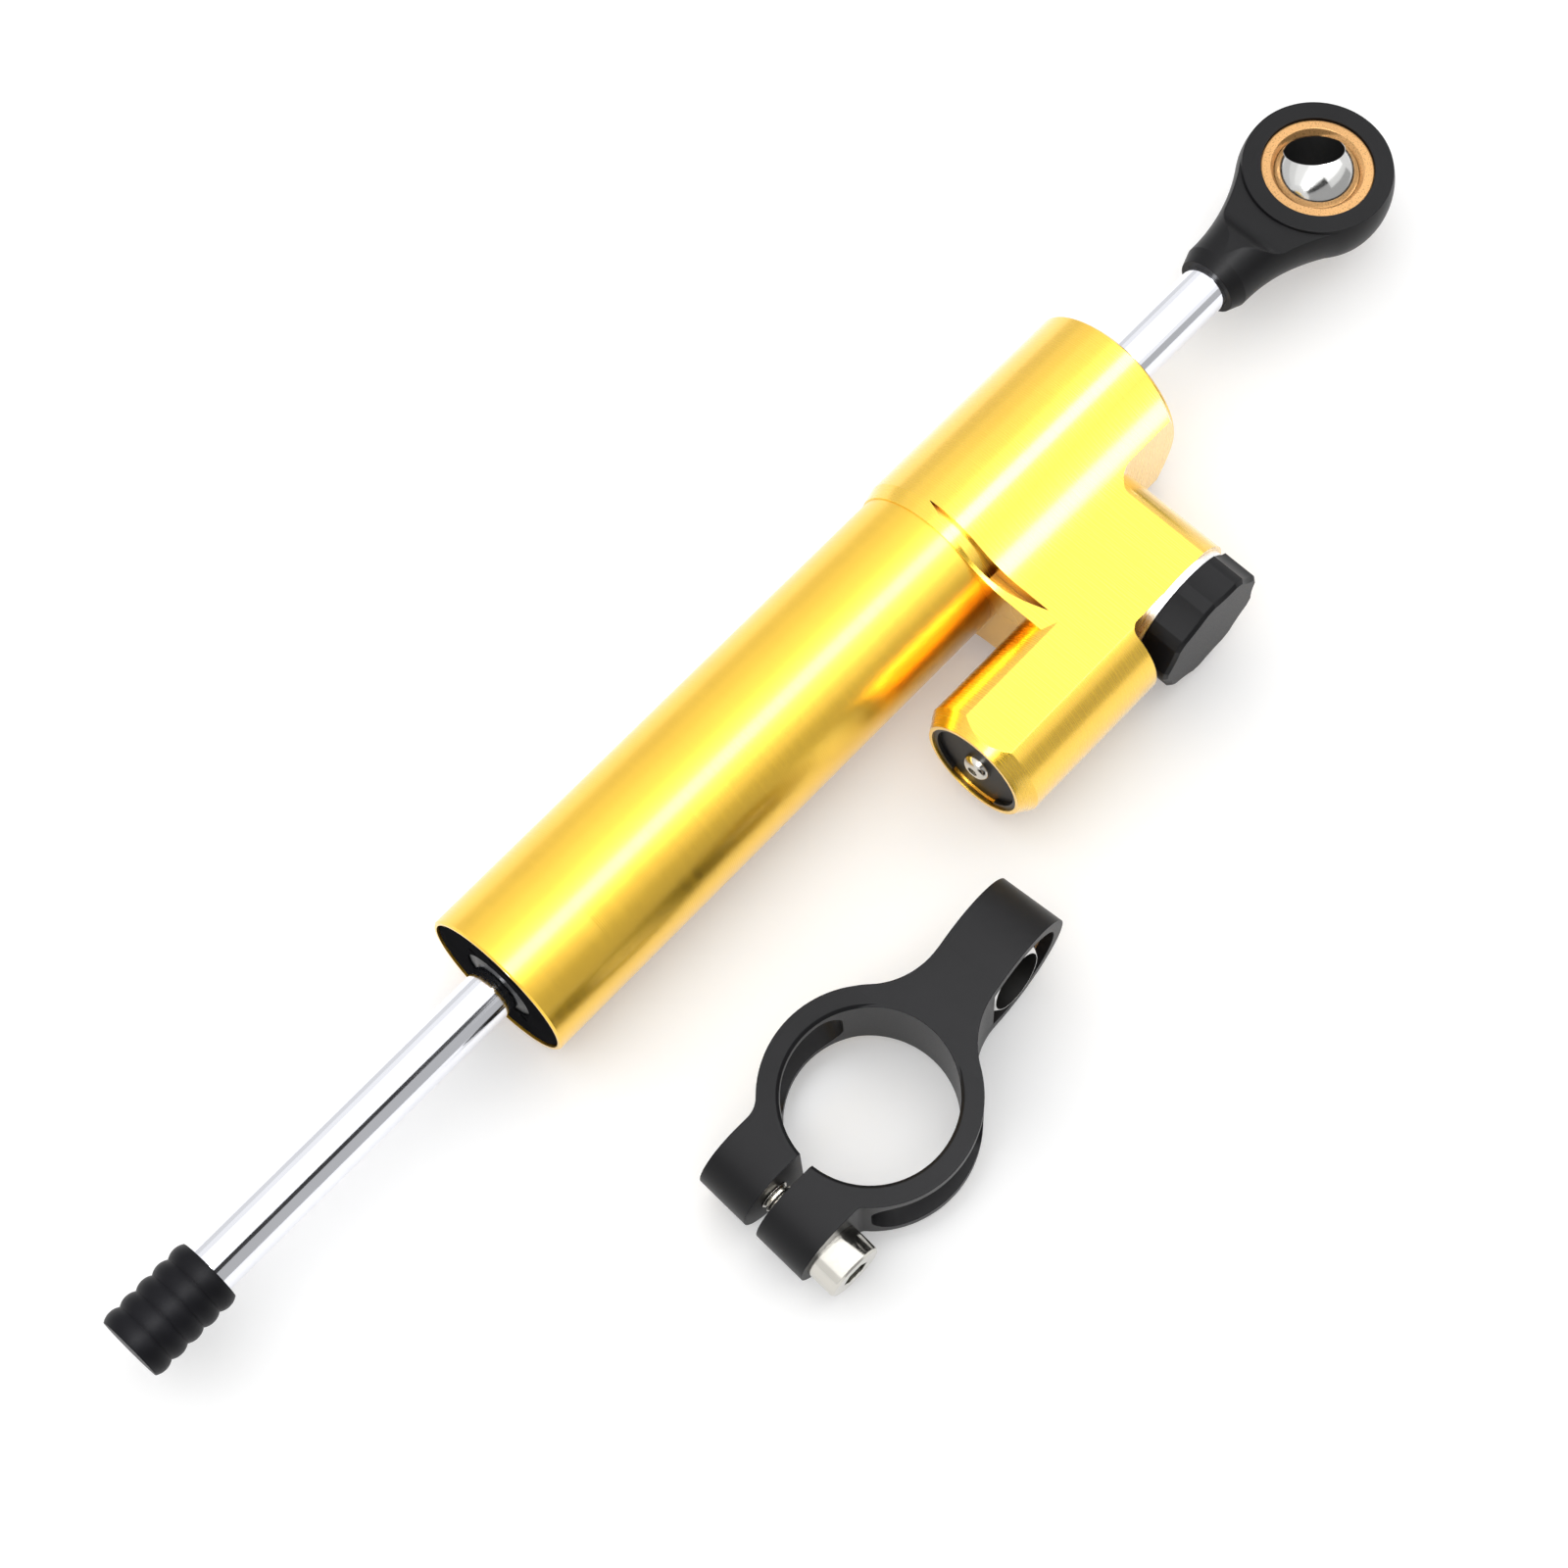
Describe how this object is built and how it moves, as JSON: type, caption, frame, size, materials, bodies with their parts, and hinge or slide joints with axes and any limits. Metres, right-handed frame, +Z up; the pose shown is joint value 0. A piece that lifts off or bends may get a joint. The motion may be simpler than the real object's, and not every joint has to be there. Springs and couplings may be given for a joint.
{
  "type": "motorcycle steering damper",
  "caption": "Linear through-rod hydraulic steering damper with side reservoir, click adjuster, spherical rod end and separate clamp bracket with its own spherical eye.",
  "frame": {"origin": "centre of the rod end's spherical ball", "axes": "+X along the piston rod towards the rod end, +Z up with the damper lying on its head housing, and the reservoir and adjuster out towards -Y"},
  "size_m": [0.3367, 0.101, 0.0342],
  "materials": {
    "gold_anodised": "gold anodised, fine turned",
    "black_anodised": "black anodised, satin",
    "chrome_rod": "hard chromed, polished",
    "black_rubber": "moulded, matt",
    "race_bronze": "machined",
    "ball_steel": "ground, polished",
    "plated_steel": "bright plated",
    "spring_steel": "bare wire",
    "click_plate_metal": "plain, satin",
    "seal_rubber": "smooth",
    "bush_bronze": "machined",
    "clip_steel": "blackened"
  },
  "bodies": {
    "damper_body": {"barrel_tube": "gold_anodised", "head_housing": "gold_anodised", "end_cap": "black_anodised", "end_cap_o_ring": "seal_rubber", "end_cap_bush": "bush_bronze", "end_cap_wiper": "seal_rubber", "head_bush": "bush_bronze", "head_wiper": "seal_rubber", "tube_o_ring": "seal_rubber", "click_plate": "click_plate_metal", "spindle_clip": "clip_steel", "detent_spring": "spring_steel", "reservoir_spring": "spring_steel", "reservoir_plug": "black_anodised", "plug_o_ring": "seal_rubber", "plug_clip": "clip_steel", "fill_screw": "plated_steel"},
    "piston_set": {"piston": "black_anodised", "piston_ring": "seal_rubber"},
    "rod": {"piston_rod": "chrome_rod", "piston_clips": "clip_steel", "rubber_cap": "black_rubber", "rod_end_body": "black_anodised", "rod_end_race": "race_bronze"},
    "rod_end_pivot": {"rod_end_ball": "ball_steel"},
    "adjuster": {"adjuster_knob": "black_anodised", "adjuster_spindle": "plated_steel", "spindle_o_ring": "seal_rubber"},
    "bleed_needle": {"needle": "plated_steel"},
    "click_ball": {"detent_ball": "ball_steel"},
    "divider": {"floating_piston": "black_anodised", "floating_piston_o_ring": "seal_rubber"},
    "bracket": {"clamp_body": "black_anodised", "clamp_race": "race_bronze"},
    "bracket_pivot": {"clamp_ball": "ball_steel"},
    "bracket_bolt": {"clamp_bolt": "plated_steel"}
  },
  "joints": [
    {"name": "rod_slide", "type": "slide", "parent": "damper_body", "child": "piston_set", "axis": [1, 0, 0], "range_m": [-0.0292, 0.0705]},
    {"name": "rod_turn", "type": "hinge", "parent": "piston_set", "child": "rod", "pos_m": [0, 0, 0], "axis": [1, 0, 0], "continuous": true},
    {"name": "rod_end_tilt", "type": "hinge", "parent": "rod", "child": "rod_end_pivot", "pos_m": [0, 0, 0], "axis": [-0.8141, 0.5807, 0], "range_deg": [-65, 5]},
    {"name": "knob_turn", "type": "hinge", "parent": "damper_body", "child": "adjuster", "pos_m": [-0.0897, 0, 0], "axis": [0, 1, 0], "range_deg": [-180, 180]},
    {"name": "needle_feed", "type": "slide", "parent": "adjuster", "child": "bleed_needle", "axis": [0, 1, 0], "range_m": [-0.00041, 0.00041]},
    {"name": "click_ball_slide", "type": "slide", "parent": "damper_body", "child": "click_ball", "axis": [0, -1, 0], "range_m": [-0.00025, 0.00004], "stiffness_N_per_m": 400, "deforming": ["detent_spring"]},
    {"name": "divider_slide", "type": "slide", "parent": "damper_body", "child": "divider", "axis": [1, 0, 0], "range_m": [-0.004, 0.003], "stiffness_N_per_m": 800, "deforming": ["reservoir_spring"]},
    {"name": "bracket_lift", "type": "slide", "parent": "damper_body", "child": "bracket", "axis": [0, 0, 1], "range_m": [0, 0.1]},
    {"name": "bracket_eye_tilt", "type": "hinge", "parent": "bracket", "child": "bracket_pivot", "pos_m": [-0.16629, -0.0609, -0.0031], "axis": [0.9944, 0.0783, 0.0709], "range_deg": [-26, 44]},
    {"name": "bolt_turn", "type": "hinge", "parent": "bracket", "child": "bracket_bolt", "pos_m": [-0.22373, -0.06279, -0.00718], "axis": [0.0346, 0.9994, 0.008], "continuous": true}
  ],
  "couplings": [
    {"joint": "needle_feed", "follows": "knob_turn", "m_per_rad": 0.00012732}
  ]
}
